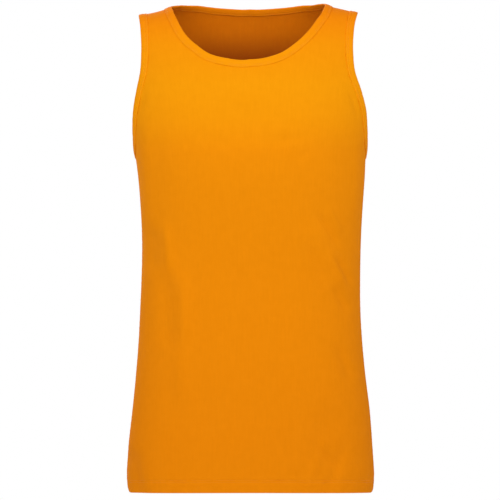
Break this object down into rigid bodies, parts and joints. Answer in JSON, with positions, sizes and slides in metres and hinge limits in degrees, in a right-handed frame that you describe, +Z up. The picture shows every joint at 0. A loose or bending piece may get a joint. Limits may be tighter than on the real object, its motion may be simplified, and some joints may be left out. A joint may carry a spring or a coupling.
{
  "type": "tank top",
  "caption": "Fitted sleeveless jersey tank top, filled out as when worn, with a round neck, bound neck and armhole edges and a turned-up hem.",
  "frame": {"origin": "midway between the two high shoulder points, where the wearer's shoulders carry the straps", "axes": "+Z up, from the hem to the shoulders; -Y out of the garment's front; +X towards the wearer's left, which is the viewer's right"},
  "size_m": [0.3559, 0.2371, 0.7073],
  "materials": {
    "jersey": "matte fine-knit cotton and elastane jersey",
    "binding": "matte self-fabric binding, folded and stitched"
  },
  "bodies": {
    "root": {"front_panel": "jersey", "back_panel": "jersey", "neck_binding": "binding", "armhole_binding_left": "binding", "armhole_binding_right": "binding"}
  },
  "joints": []
}
